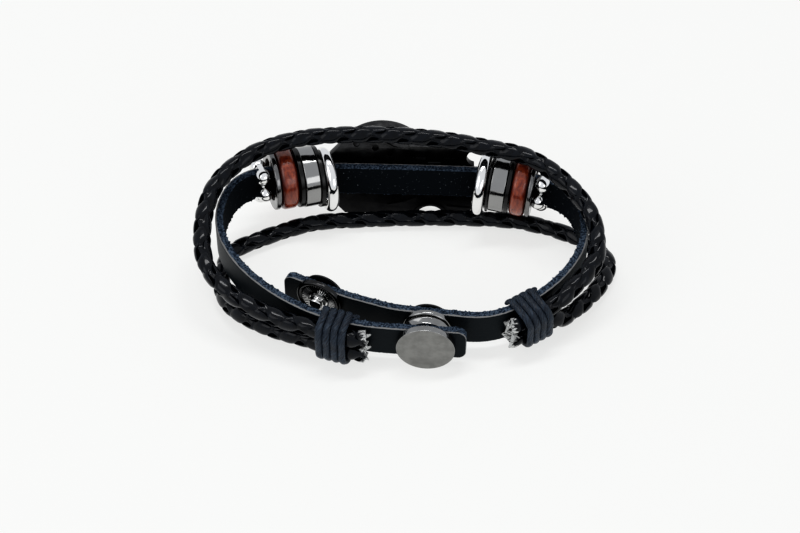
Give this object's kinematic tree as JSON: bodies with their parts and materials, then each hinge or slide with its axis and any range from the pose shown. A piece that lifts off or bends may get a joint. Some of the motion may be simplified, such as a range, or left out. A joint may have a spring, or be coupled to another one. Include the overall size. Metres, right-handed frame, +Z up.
{
  "type": "leather bracelet",
  "caption": "Layered wrist bracelet: flat leather strap with a snap, beads and a cast ornament, and two braided cords tied on by cord wraps.",
  "frame": {"origin": "middle of the whole bracelet's box, on the surface that it rests on", "axes": "+Z up from that surface, -Y to the snap fastener at the front, +Y to the ornament at the back, +X to the right seen from the front"},
  "size_m": [0.0741, 0.0475, 0.0205],
  "materials": {
    "strap_leather": "smooth blue-black grain side, suede edges and inner side",
    "braid_leather": "glossy coated leather strands",
    "waxed_cord": "waxed twisted cord",
    "cap_metal": "satin grey plating",
    "socket_metal": "polished grey nickel",
    "dark_nickel": "black nickel",
    "gunmetal": "dark cast gunmetal",
    "chrome": "polished",
    "black_metal": "gloss black",
    "red_wood": "polished red-brown wood"
  },
  "bodies": {
    "root": {"strap": "strap_leather", "snap_cap": "cap_metal", "snap_socket": "socket_metal", "snap_stud": "socket_metal", "snap_rivet": "dark_nickel", "spare_stud": "dark_nickel", "spare_rivet": "dark_nickel", "ornament": "gunmetal", "braid_upper": "braid_leather", "braid_lower": "braid_leather", "wrap_left": "waxed_cord", "wrap_right": "waxed_cord", "lobed_bead_left": "chrome", "lobed_bead_right": "chrome", "washer_left": "chrome", "washer_right": "chrome", "wood_bead_left": "red_wood", "wood_bead_right": "red_wood", "black_ring_left": "black_metal", "black_ring_right": "black_metal", "band_bead_left": "chrome", "band_bead_right": "chrome", "spacer_left": "black_metal", "spacer_right": "black_metal", "chrome_ring_left": "chrome", "chrome_ring_right": "chrome"}
  },
  "joints": []
}
